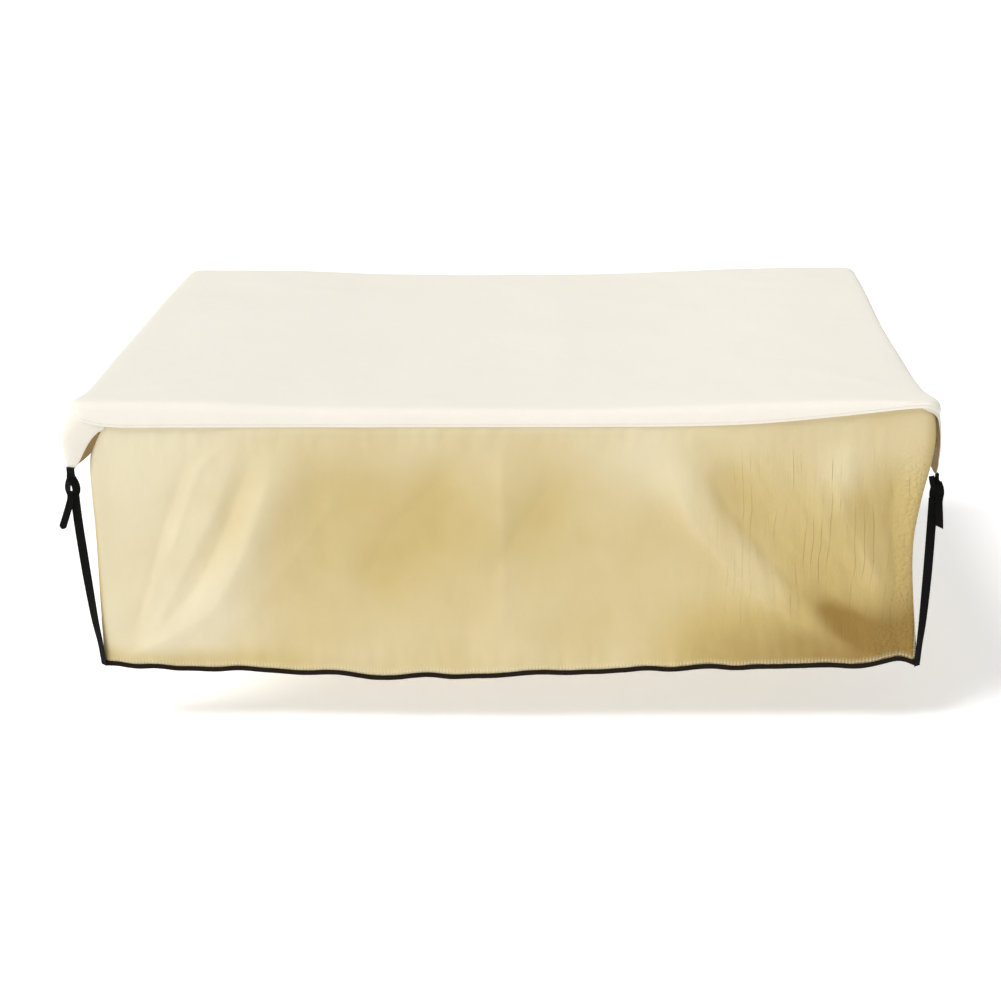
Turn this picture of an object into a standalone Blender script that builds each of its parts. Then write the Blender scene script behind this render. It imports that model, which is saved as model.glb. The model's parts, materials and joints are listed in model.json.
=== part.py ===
# Fitted patio table cover. A cream top with rolled edges, two short cream side flaps that wrap
# the corners, and two tan skirts that hang in folds. Dark tape binds the hems, and a webbing
# strap at each corner ties the tip of the flap to the corner of the hem.
#
# Metres. The origin is the middle of the top's underside, where the table holds the cover.
# +X runs along the long side, -Y is the front, +Z is up.
import math
from collections import namedtuple

import bmesh
import bpy
from mathutils import Vector

# Driving sizes
HALF_WIDTH = 0.925  # middle to a short side of the top
HALF_DEPTH = 0.680  # middle to the front or back wall
CORNER_RADIUS = 0.040  # of the walls, seen from above
CLOTH = 0.002  # coated polyester with its backing
SEAM_GAP = 0.0004  # between two pieces that are sewn together
SEAM_LAP = 0.004  # how far one piece tucks behind the next at a seam
EDGE_ROLL = 0.022  # largest radius of the top's rolled edge
ROLL_SHARE = 0.65  # most of its height that the rolled edge may take

# The top: slack in its middle, higher over its two ends
TOP_RISE = 0.018
RISE_STARTS = 0.20
RISE_ENDS = 0.78
SIDE_SAG = 0.012  # of the right edge between its corners
SIDE_SAG_Y = -0.25
SIDE_SAG_REACH = 0.32

SIDE_SEAM_DROP = 0.032  # of the seam under the top's edge, at the short sides
BACK_SEAM_Z = -0.028

# Skirts
SKIRT_LEAN = 0.010  # how far the hem stands out from the wall
SKIRT_SET_IN = 2 * (CLOTH + SEAM_GAP) + 0.001  # near the corners, behind the flap too
SET_IN_FROM = 0.56
FOLDS_START = 0.03  # below the seam
FOLDS_FULL = 0.16
HEM_STIFF = 0.020  # bound edge, where the cloth stays upright
END_TURN = 0.008  # radius of the skirts' turned ends
CORNER_TURN = 0.034

# Binding tape round the hem
TAPE_COVER = 0.010
TAPE_WALL = 0.0013
TAPE_SLACK = 0.0005

# Corner ties
WEBBING_WIDTH = 0.020
WEBBING = 0.0015
TAB_LAP = 0.009  # of the tab over the tip of the flap
TAB_DROP = 0.018  # from the tip to the knot
KNOT_SIZE = Vector((0.030, 0.013, 0.042))
KNOT_ROUNDING = 0.005
STRAP_INWARD = 0.005  # where the strap leaves the knot, from its middle
TAIL_OUTWARD = 0.004
TAIL_FORWARD = 0.016  # how far the free end hangs in front of the strap
TAIL_WIDTH = 0.016

# Mesh density
CORNER_CELLS = 6
FRONT_COLUMNS = 46
BACK_COLUMNS = 28
FRONT_ROWS = 12
BACK_ROWS = 8
FLAP_ROWS = 3
WEBBING_CELLS = 3  # between two points of a strap's route
LONG_STATIONS = (0.024, 0.065, 0.140, 0.230, 0.345, 0.480, 0.680)  # back from either corner
SIDE_STATIONS = (0.078, 0.095, 0.125, 0.200, 0.380)  # along a short side from either corner

# How far each short edge stands out from HALF_WIDTH
Edge = namedtuple("Edge", "y left right")
EDGES = (
    Edge(-0.70, 0.024, 0.029),
    Edge(-0.64, 0.018, 0.023),
    Edge(-0.56, 0.001, 0.004),
    Edge(-0.40, -0.006, -0.007),
    Edge(0.00, -0.007, 0.003),
    Edge(0.45, -0.007, 0.020),
    Edge(0.62, -0.003, 0.022),
    Edge(0.70, 0.006, 0.026),
)

# Seam under the top's front edge: it climbs to the edge at the right
Seam = namedtuple("Seam", "x z")
FRONT_SEAM = (
    Seam(-0.94, -0.013),
    Seam(-0.90, -0.026),
    Seam(-0.86, -0.036),
    Seam(-0.80, -0.036),
    Seam(0.44, -0.036),
    Seam(0.54, -0.032),
    Seam(0.62, -0.026),
    Seam(0.70, -0.017),
    Seam(0.80, -0.006),
    Seam(0.87, 0.002),
    Seam(0.90, 0.004),
    Seam(0.94, 0.004),
)

# Free ends of the front skirt, and of the back skirt, down from the seam
End = namedtuple("End", "z left right")
FRONT_ENDS = (
    End(0.010, -0.874, 0.939),
    End(-0.040, -0.882, 0.944),
    End(-0.070, -0.896, 0.946),
    End(-0.110, -0.904, 0.943),
    End(-0.160, -0.905, 0.927),
    End(-0.290, -0.903, 0.904),
    End(-0.430, -0.905, 0.910),
    End(-0.560, -0.906, 0.924),
    End(-0.640, -0.907, 0.932),
)
BACK_ENDS = (
    End(0.010, -0.876, 0.880),
    End(-0.100, -0.902, 0.906),
    End(-0.300, -0.900, 0.904),
    End(-0.640, -0.906, 0.912),
)

# Hem heights along the front and back skirts
Hem = namedtuple("Hem", "x z")
FRONT_HEM = (
    Hem(-0.92, -0.597),
    Hem(-0.80, -0.602),
    Hem(-0.706, -0.610),
    Hem(-0.62, -0.609),
    Hem(-0.535, -0.616),
    Hem(-0.48, -0.616),
    Hem(-0.35, -0.622),
    Hem(-0.27, -0.628),
    Hem(-0.18, -0.620),
    Hem(-0.11, -0.628),
    Hem(-0.02, -0.620),
    Hem(0.08, -0.616),
    Hem(0.21, -0.614),
    Hem(0.35, -0.606),
    Hem(0.49, -0.599),
    Hem(0.58, -0.602),
    Hem(0.74, -0.598),
    Hem(0.82, -0.592),
    Hem(0.885, -0.582),
    Hem(0.94, -0.600),
)
BACK_HEM = (
    Hem(-0.92, -0.600),
    Hem(-0.60, -0.612),
    Hem(-0.25, -0.618),
    Hem(0.10, -0.612),
    Hem(0.45, -0.617),
    Hem(0.75, -0.606),
    Hem(0.92, -0.599),
)

# Folds. Each one runs from its upper end to its lower end, bowed sideways at its middle.
# A height above zero is a ridge that stands out, below zero a trough.
Fold = namedtuple("Fold", "x_top z_top x_end z_end bow width height")
FRONT_FOLDS = (
    Fold(-0.470, -0.05, -0.850, -0.60, 0.070, 0.055, 0.020),
    Fold(-0.530, -0.05, -0.860, -0.59, 0.050, 0.038, -0.018),
    Fold(-0.575, -0.06, -0.790, -0.48, 0.025, 0.040, 0.012),
    Fold(-0.640, -0.05, -0.740, -0.30, 0.010, 0.050, -0.006),
    Fold(-0.300, -0.10, -0.560, -0.58, 0.030, 0.110, -0.006),
    Fold(0.010, -0.05, 0.000, -0.62, -0.010, 0.070, 0.007),
    Fold(-0.120, -0.08, -0.300, -0.45, 0.020, 0.075, -0.007),
    Fold(0.130, -0.10, -0.020, -0.45, 0.020, 0.060, -0.006),
    Fold(0.330, -0.04, 0.860, -0.59, -0.060, 0.060, 0.024),
    Fold(0.430, -0.06, 0.870, -0.56, -0.045, 0.055, -0.022),
    Fold(0.560, -0.05, 0.880, -0.50, -0.020, 0.065, 0.012),
    Fold(0.750, -0.08, 0.740, -0.24, 0.000, 0.055, 0.009),
    Fold(0.850, -0.10, 0.900, -0.58, 0.010, 0.040, -0.012),
)
BACK_FOLDS = (
    Fold(-0.420, -0.05, -0.820, -0.60, 0.060, 0.070, 0.016),
    Fold(-0.520, -0.05, -0.840, -0.58, 0.050, 0.050, -0.012),
    Fold(0.060, -0.06, 0.020, -0.62, 0.010, 0.100, 0.009),
    Fold(0.380, -0.05, 0.800, -0.60, -0.055, 0.070, 0.017),
    Fold(0.500, -0.05, 0.840, -0.58, -0.045, 0.050, -0.013),
)

# Lower edge of a flap: distance along the wall from where the front wall meets the corner.
# out and forward are how far the cloth is pulled, sideways and to the front, by FLARE_DEPTH
# below the seam.
Brim = namedtuple("Brim", "along z out forward")
WRAPPED_BRIM = (
    Brim(-0.041, -0.039, 0.000, 0.003),
    Brim(-0.024, -0.049, 0.000, 0.003),
    Brim(-0.010, -0.067, 0.002, 0.004),
    Brim(0.000, -0.098, 0.010, 0.006),
    Brim(0.010, -0.131, 0.022, 0.008),
    Brim(0.030, -0.134, 0.029, 0.011),
    Brim(0.063, -0.136, 0.018, 0.010),
    Brim(0.100, -0.134, 0.013, 0.004),
    Brim(0.160, -0.122, 0.008, 0.000),
    Brim(0.300, -0.096, 0.005, 0.000),
    Brim(0.690, -0.086, 0.004, 0.000),
)
SIDE_BRIM = (
    Brim(-0.041, -0.001, 0.000, 0.003),
    Brim(-0.024, -0.002, 0.000, 0.003),
    Brim(0.010, -0.006, 0.002, 0.003),
    Brim(0.030, -0.018, 0.005, 0.003),
    Brim(0.046, -0.042, 0.008, 0.003),
    Brim(0.056, -0.110, 0.009, 0.003),
    Brim(0.064, -0.158, 0.009, 0.003),
    Brim(0.082, -0.161, 0.009, 0.002),
    Brim(0.110, -0.138, 0.008, 0.001),
    Brim(0.160, -0.112, 0.006, 0.000),
    Brim(0.300, -0.092, 0.004, 0.000),
    Brim(0.690, -0.086, 0.004, 0.000),
)
FLARE_START = 0.001  # below the seam
FLARE_DEPTH = 0.045
TIP_TUCK = 0.28  # share of the pull that is lost again down at the tip

# Corner ties. tip is where the middle of the tab sits along the flap's lower edge, tail_out and
# tail_drop are where the free end hangs from the knot, and bow is the strap's swing at its middle.
Tie = namedtuple("Tie", "name side facing tip tail_out tail_drop bow")
TIES = (
    Tie("front_left", -1, -1, 0.020, 0.026, 0.068, 0.003),
    Tie("front_right", 1, -1, 0.071, 0.006, 0.052, 0.003),
    Tie("back_left", -1, 1, 0.020, 0.016, 0.064, 0.004),
    Tie("back_right", 1, 1, 0.020, 0.020, 0.070, 0.004),
)

QUARTER = CORNER_RADIUS * math.pi / 2
SIDE_RUN = 2 * (HALF_DEPTH - CORNER_RADIUS)
FRONT_RUN = HALF_WIDTH - CORNER_RADIUS
MIDDLE_OF_SIDE = QUARTER + SIDE_RUN / 2


def smooth(low, high, value):
    t = min(max((value - low) / (high - low), 0.0), 1.0)
    return t * t * (3 - 2 * t)


def blend(first, second, share):
    return first + (second - first) * share


def curve_through(rows, key, column, value):
    # Smooth curve through a table's rows, sorted by its key column
    keys = [getattr(row, key) for row in rows]
    values = [getattr(row, column) for row in rows]
    if keys[0] > keys[-1]:
        keys.reverse()
        values.reverse()
    value = min(max(value, keys[0]), keys[-1])
    i = max(n for n in range(len(keys) - 1) if keys[n] <= value)
    slopes = []
    for n in (i, i + 1):
        before = max(n - 1, 0)
        after = min(n + 1, len(keys) - 1)
        slopes.append((values[after] - values[before]) / (keys[after] - keys[before]))
    step = keys[i + 1] - keys[i]
    t = (value - keys[i]) / step
    return (
        values[i] * (1 + 2 * t) * (1 - t) ** 2
        + values[i + 1] * t * t * (3 - 2 * t)
        + step * (slopes[0] * t * (1 - t) ** 2 - slopes[1] * t * t * (1 - t))
    )


def edge_out(x, y):
    # The short edges aren't straight: the cloth is pulled out at the corners
    column = "right" if x > 0 else "left"
    share = (abs(x) / HALF_WIDTH) ** 2
    return math.copysign(curve_through(EDGES, "y", column, y) * share, x)


def top_height(x, y):
    rise = TOP_RISE * smooth(RISE_STARTS, RISE_ENDS, abs(x))
    sag = SIDE_SAG * math.exp(-(((y - SIDE_SAG_Y) / SIDE_SAG_REACH) ** 2))
    return CLOTH + rise - sag * max(x / HALF_WIDTH, 0.0) ** 4


def wall(side, along, inset=0.0):
    # Point and outward direction on the upright wall under the top's edge, seen from above.
    # along starts below 0 on the front wall, is 0 where the front corner begins, and goes
    # on down the short side and round the back corner.
    radius = CORNER_RADIUS
    inner_y = HALF_DEPTH - radius
    if along < 0:
        x, y, turn = FRONT_RUN + along, -inner_y, 0.0
    elif along < QUARTER:
        x, y, turn = FRONT_RUN, -inner_y, along / radius
    elif along < QUARTER + SIDE_RUN:
        x, y, turn = FRONT_RUN, -inner_y + along - QUARTER, math.pi / 2
    elif along < 2 * QUARTER + SIDE_RUN:
        x, y, turn = FRONT_RUN, inner_y, (along - SIDE_RUN) / radius
    else:
        x, y, turn = FRONT_RUN + 2 * QUARTER + SIDE_RUN - along, inner_y, math.pi
    out = Vector((side * math.sin(turn), -math.cos(turn), 0.0))
    point = Vector((side * x, y, 0.0)) + out * (radius - inset)
    point.x += edge_out(point.x, point.y)
    return point, out


def seam_height(x, y, facing_y):
    end = BACK_SEAM_Z if facing_y > 0 else curve_through(FRONT_SEAM, "x", "z", x)
    return blend(top_height(x, y) - SIDE_SEAM_DROP, end, facing_y**4)


def wall_stations():
    # From the middle of the front wall round one end to the middle of the back wall
    near = [-FRONT_RUN] + [-along for along in reversed(LONG_STATIONS)]
    near += [QUARTER * n / CORNER_CELLS for n in range(CORNER_CELLS + 1)]
    near += SIDE_STATIONS
    return near + [MIDDLE_OF_SIDE] + [2 * MIDDLE_OF_SIDE - along for along in reversed(near)]


def loft(rows, closed=False):
    # Skin over rows of points, each row as long as the next
    mesh = bmesh.new()
    grid = [[mesh.verts.new(point) for point in row] for row in rows]
    for upper, lower in zip(grid, grid[1:]):
        count = len(upper)
        for n in range(count if closed else count - 1):
            m = (n + 1) % count
            mesh.faces.new((upper[n], lower[n], lower[m], upper[m]))
    return mesh, grid


def add_object(name, mesh, material, sheet=False):
    data = bpy.data.meshes.new(name)
    mesh.to_mesh(data)
    mesh.free()
    data.materials.append(material)
    data.shade_smooth()
    data.set_sharp_from_angle(angle=math.radians(50))
    piece = bpy.data.objects.new(name, data)
    cover.objects.link(piece)
    if sheet:
        shell = piece.modifiers.new("thickness", "SOLIDIFY")
        shell.thickness = CLOTH
        shell.offset = -1.0
    return piece


def make_material(name, colour, roughness):
    material = bpy.data.materials.new(name)
    material.use_nodes = True
    shader = material.node_tree.nodes["Principled BSDF"]
    shader.inputs["Base Color"].default_value = (*colour, 1.0)
    shader.inputs["Roughness"].default_value = roughness
    shader.inputs["Metallic"].default_value = 0.0
    return material


def make_top(material):
    stations = wall_stations()
    ring = [(1, along) for along in stations] + [(-1, along) for along in reversed(stations[1:-1])]
    spine = (HALF_WIDTH - HALF_DEPTH) / FRONT_RUN

    def edge_row(turn):
        row = []
        for side, along in ring:
            point, out = wall(side, along)
            seam = seam_height(point.x, point.y, out.y)
            roll = min(EDGE_ROLL, ROLL_SHARE * (top_height(point.x, point.y) - seam))
            point, out = wall(side, along, roll * (1 - math.sin(turn)))
            point.z = top_height(point.x, point.y) - roll * (1 - math.cos(turn))
            row.append(point)
        return row

    def inner_row(share):
        # Towards a line along the middle of the top, where the front and the back meet
        row = []
        for (side, along), point in zip(ring, edge_row(0.0)):
            spine_x = side * spine * (FRONT_RUN + min(along, 2 * MIDDLE_OF_SIDE - along, 0.0))
            x = blend(point.x, spine_x, share)
            y = blend(point.y, 0.0, share)
            row.append(Vector((x, y, top_height(x, y))))
        return row

    seam_row = []
    for side, along in ring:
        point, out = wall(side, along)
        point.z = seam_height(point.x, point.y, out.y)
        seam_row.append(point)
    rows = [seam_row] + [edge_row(math.radians(turn)) for turn in (90, 60, 30, 0)]
    rows += [inner_row(share) for share in (0.10, 0.30, 0.60, 1.0)]
    mesh, _ = loft(rows, closed=True)
    bmesh.ops.remove_doubles(mesh, verts=mesh.verts, dist=0.0002)
    bmesh.ops.recalc_face_normals(mesh, faces=mesh.faces)
    if max(mesh.faces, key=lambda face: face.calc_center_median().z).normal.z < 0:
        bmesh.ops.reverse_faces(mesh, faces=mesh.faces)
    add_object("top_panel", mesh, material, sheet=True)


def fold_relief(folds, x, z):
    relief = 0.0
    for fold in folds:
        t = (z - fold.z_top) / (fold.z_end - fold.z_top)
        inside = smooth(-0.15, 0.15, t) * smooth(1.15, 0.85, t)
        t = min(max(t, 0.0), 1.0)
        centre = blend(fold.x_top, fold.x_end, t) + fold.bow * math.sin(math.pi * t)
        relief += fold.height * inside * math.exp(-(((x - centre) / fold.width) ** 2))
    return relief


def skirt_point(front, x_share, z_share):
    # x_share runs from the left end to the right end, z_share from the seam to the hem
    ends = FRONT_ENDS if front else BACK_ENDS
    hems = FRONT_HEM if front else BACK_HEM
    folds = FRONT_FOLDS if front else BACK_FOLDS
    facing = -1.0 if front else 1.0
    seam = seam_height(blend(ends[0].left, ends[0].right, x_share), facing * HALF_DEPTH, facing)
    hem = curve_through(hems, "x", "z", blend(ends[-1].left, ends[-1].right, x_share))
    z = blend(seam + SEAM_LAP, hem, z_share)
    upright_z = max(z, hem + HEM_STIFF)
    left = curve_through(ends, "z", "left", upright_z)
    right = curve_through(ends, "z", "right", upright_z)
    x = blend(left, right, x_share)
    depth = smooth(FOLDS_START, FOLDS_FULL, seam - z)
    out = depth * fold_relief(folds, x, upright_z)
    out += SKIRT_LEAN * smooth(0.0, 1.0, (seam - upright_z) / (seam - hem))
    set_in = blend(CLOTH + SEAM_GAP, SKIRT_SET_IN, smooth(SET_IN_FROM, SET_IN_FROM + 0.08, abs(x)))
    # The ends turn in: the front skirt's right end goes round the corner under the flap
    corner_turn = blend(CORNER_TURN, END_TURN, smooth(0.10, 0.26, -z)) if front else END_TURN
    inward = 0.0
    for room, radius in ((x - left, END_TURN), (right - x, corner_turn)):
        reach = min(max(1 - room / radius, 0.0), 1.0)
        inward += radius * (1 - math.sqrt(max(1 - reach * reach, 0.0)))
    y = HALF_DEPTH - set_in + out - inward
    return Vector((x, facing * y, z))


def column_shares(columns):
    # Closer together at both ends, where the cloth turns in
    ends = (0.0, 0.004, 0.011, 0.021)
    inner = [blend(ends[-1], 1 - ends[-1], n / (columns - 6)) for n in range(1, columns - 6)]
    return list(ends) + inner + [1 - share for share in reversed(ends)]


def row_shares(rows):
    # The seam's lap and the bound hem each have a row of their own
    first = 0.03
    last = 0.970
    return [0.0] + [blend(first, last, n / (rows - 2)) for n in range(rows - 1)] + [1.0]


def make_skirt(front, material):
    columns = column_shares(FRONT_COLUMNS if front else BACK_COLUMNS)
    rows = [
        [skirt_point(front, x_share, z_share) for x_share in columns]
        for z_share in row_shares(FRONT_ROWS if front else BACK_ROWS)
    ]
    if not front:
        rows = [list(reversed(row)) for row in rows]
    mesh, _ = loft(rows)
    add_object("front_skirt" if front else "back_skirt", mesh, material, sheet=True)


def make_binding(front, material):
    # Folded tape: a U section that runs along the skirt's lower edge
    outer = TAPE_SLACK + TAPE_WALL
    inner = -(CLOTH + TAPE_SLACK + TAPE_WALL)
    floor = -SEAM_GAP
    section = (
        (outer, TAPE_COVER),
        (TAPE_SLACK, TAPE_COVER),
        (TAPE_SLACK, floor),
        (inner + TAPE_WALL, floor),
        (inner + TAPE_WALL, TAPE_COVER),
        (inner, TAPE_COVER),
        (inner, floor - TAPE_WALL),
        (outer, floor - TAPE_WALL),
    )
    columns = column_shares(FRONT_COLUMNS if front else BACK_COLUMNS)
    edge = [skirt_point(front, share, 1.0) for share in columns]
    facing = -1.0 if front else 1.0
    steps = [(after - before).xy.normalized() for before, after in zip(edge, edge[1:])]
    rows = []
    for n, point in enumerate(edge):
        ahead = steps[max(n - 1, 0)] + steps[min(n, len(steps) - 1)]
        out = Vector((-facing * ahead.y, facing * ahead.x, 0.0)).normalized()
        rows.append([point + out * across + Vector((0.0, 0.0, up)) for across, up in section])
    mesh, grid = loft(rows, closed=True)
    mesh.faces.new(grid[0])
    mesh.faces.new(grid[-1])
    bmesh.ops.recalc_face_normals(mesh, faces=mesh.faces)
    add_object("front_hem_binding" if front else "back_hem_binding", mesh, material)


def flap_brim(side, along):
    return SIDE_BRIM if side > 0 and along < MIDDLE_OF_SIDE else WRAPPED_BRIM


def flap_surface(side, along, z):
    point, out = wall(side, along, CLOTH + SEAM_GAP)
    seam = seam_height(point.x, point.y, out.y)
    near = min(along, 2 * MIDDLE_OF_SIDE - along)
    brim = flap_brim(side, along)
    drop = seam - FLARE_START - z
    pull = smooth(0.0, FLARE_DEPTH, drop) - TIP_TUCK * smooth(FLARE_DEPTH, 2.5 * FLARE_DEPTH, drop)
    forward = curve_through(brim, "along", "forward", near) * math.copysign(1.0, point.y)
    point += Vector((side * curve_through(brim, "along", "out", near), forward, 0.0)) * pull
    point.z = z
    return point


def flap_point(side, along, share):
    # share runs from the top seam to the lower edge, and is below 0 in the lap behind the seam
    point, out = wall(side, along)
    seam = seam_height(point.x, point.y, out.y)
    if share < 0:
        return flap_surface(side, along, seam + SEAM_LAP)
    near = min(along, 2 * MIDDLE_OF_SIDE - along)
    lower = curve_through(flap_brim(side, along), "along", "z", near)
    return flap_surface(side, along, blend(seam - FLARE_START, lower, share))


def make_flap(side, material):
    length = 2 * MIDDLE_OF_SIDE
    near_end = [row.along for row in WRAPPED_BRIM if row.along < 0]
    stations = [along for along in wall_stations() if 0.0 <= along <= length]
    stations = sorted(stations + near_end + [length - along for along in near_end])
    if side < 0:
        stations.reverse()
    shares = [-1.0] + [n / FLAP_ROWS for n in range(FLAP_ROWS + 1)]
    rows = [[flap_point(side, along, share) for along in stations] for share in shares]
    mesh, _ = loft(rows)
    add_object("right_flap" if side > 0 else "left_flap", mesh, material, sheet=True)


def ribbon(name, points, across, width, material):
    # Flat webbing on a rounded line through the points. across has the direction of its width
    # at each point.
    ways = [points[1] - points[0]]
    ways += [after - before for before, after in zip(points, points[2:])]
    ways.append(points[-1] - points[-2])
    ways = [way.normalized() for way in ways]
    line = []
    for n in range(len(points) - 1):
        start, end = points[n], points[n + 1]
        reach = (end - start).length / 3
        leave, arrive = start + ways[n] * reach, end - ways[n + 1] * reach
        for step in range(WEBBING_CELLS):
            t = step / WEBBING_CELLS
            rest = 1 - t
            place = start * rest**3 + leave * 3 * t * rest**2 + arrive * 3 * t * t * rest + end * t**3
            line.append((place, ways[n].lerp(ways[n + 1], t), across[n].lerp(across[n + 1], t)))
    line.append((points[-1], ways[-1], across[-1]))
    rows = []
    for point, way, wide in line:
        ahead = way.normalized()
        wide = (wide - ahead * wide.dot(ahead)).normalized() * width / 2
        thick = ahead.cross(wide).normalized() * WEBBING / 2
        rows.append([point + wide + thick, point - wide + thick, point - wide - thick, point + wide - thick])
    mesh, grid = loft(rows, closed=True)
    mesh.faces.new(grid[0])
    mesh.faces.new(grid[-1])
    bmesh.ops.recalc_face_normals(mesh, faces=mesh.faces)
    add_object(name, mesh, material)


def tie_corner(tie):
    # Outer side of the bound corner of the hem, and the way that it faces
    front = tie.facing < 0
    corner = skirt_point(front, 1.0 if tie.side > 0 else 0.0, 1.0)
    out = Vector((tie.side, tie.facing, 0.0)).normalized()
    corner.x -= tie.side * END_TURN
    reach = END_TURN + TAPE_SLACK + TAPE_WALL + 2 * SEAM_GAP + WEBBING / 2
    return corner + out * reach, out


def make_tie(tie, material):
    sideways = Vector((1.0, 0.0, 0.0))
    down = Vector((0.0, 0.0, -1.0))
    outward = Vector((tie.side, 0.0, 0.0))
    forward = Vector((0.0, tie.facing, 0.0))
    along = tie.tip if tie.facing < 0 else 2 * MIDDLE_OF_SIDE - tie.tip
    tip = flap_point(tie.side, along, 1.0)
    slope = (flap_point(tie.side, along, 0.9) - tip).normalized()
    half_tab = WEBBING_WIDTH / 2
    brim_way = flap_surface(tie.side, along - half_tab, tip.z) - flap_surface(tie.side, along + half_tab, tip.z)
    brim_way *= math.copysign(1.0, brim_way.x)
    brim_way.normalize()
    facing = brim_way.cross(slope)
    facing *= math.copysign(1.0, facing.y * tie.facing + facing.x * tie.side)
    clear = facing * (2 * SEAM_GAP + WEBBING / 2)

    # The tab is sewn outside the tip and turns to face the front or the back
    head = tip + clear + slope * TAB_LAP
    brow = tip + clear - slope * TAB_DROP * 0.3
    tab_foot = tip + clear + down * TAB_DROP
    route = [head, brow, tab_foot - down * TAB_DROP * 0.2, tab_foot]
    ribbon(tie.name + "_tab", route, (brim_way, brim_way, sideways, sideways), WEBBING_WIDTH, material)

    half_knot = KNOT_SIZE / 2
    centre = tab_foot + down * (half_knot.z + SEAM_GAP)
    knot = bmesh.new()
    bmesh.ops.create_cube(knot, size=1.0)
    for vertex in knot.verts:
        vertex.co = Vector(a * b for a, b in zip(vertex.co, KNOT_SIZE)) + centre
    bmesh.ops.bevel(knot, geom=knot.edges, offset=KNOT_ROUNDING, segments=2, affect="EDGES", profile=0.6)
    add_object(tie.name + "_knot", knot, material)

    # Strap and tail both leave the knot's underside, the tail in front
    under = centre + down * (half_knot.z + 2 * SEAM_GAP)
    start = under - outward * STRAP_INWARD
    foot, corner_out = tie_corner(tie)
    across = Vector((-corner_out.y, corner_out.x, 0.0))
    across *= math.copysign(1.0, across.x)
    leaves = start + down * 0.02
    route = [start, leaves]
    turned = [sideways, sideways]
    for share, swing in ((0.3, 0.8), (0.55, 1.0), (0.8, 0.7), (0.94, 0.2), (1.0, 0.0)):
        route.append(leaves.lerp(foot, share) + outward * tie.bow * swing)
        turned.append(sideways.lerp(across, smooth(0.3, 1.0, share)))
    ribbon(tie.name + "_strap", route, turned, WEBBING_WIDTH, material)

    tail_start = under + forward * (WEBBING + 2 * SEAM_GAP) + outward * TAIL_OUTWARD
    tail_end = under + outward * tie.tail_out + forward * TAIL_FORWARD + down * tie.tail_drop
    tail_route = [tail_start, tail_start + down * 0.015 + forward * 0.001]
    tail_route += [tail_start.lerp(tail_end, 0.6) + forward * TAIL_FORWARD * 0.2, tail_end]
    ribbon(tie.name + "_tail", tail_route, [sideways] * 4, TAIL_WIDTH, material)


for old in list(bpy.data.objects):
    bpy.data.objects.remove(old, do_unlink=True)

cover = bpy.data.collections.new("patio_table_cover")
bpy.context.scene.collection.children.link(cover)

cream = make_material("cream_cloth", (0.90, 0.85, 0.74), 0.80)
tan = make_material("tan_cloth", (0.74, 0.60, 0.36), 0.78)
tape = make_material("binding_tape", (0.03, 0.022, 0.016), 0.75)
webbing = make_material("webbing", (0.014, 0.013, 0.013), 0.85)

make_top(cream)
make_flap(-1, cream)
make_flap(1, cream)
for is_front in (True, False):
    make_skirt(is_front, tan)
    make_binding(is_front, tape)
for corner_tie in TIES:
    make_tie(corner_tie, webbing)
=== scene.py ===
import json
import math
from bisect import bisect
from collections import Counter

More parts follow.
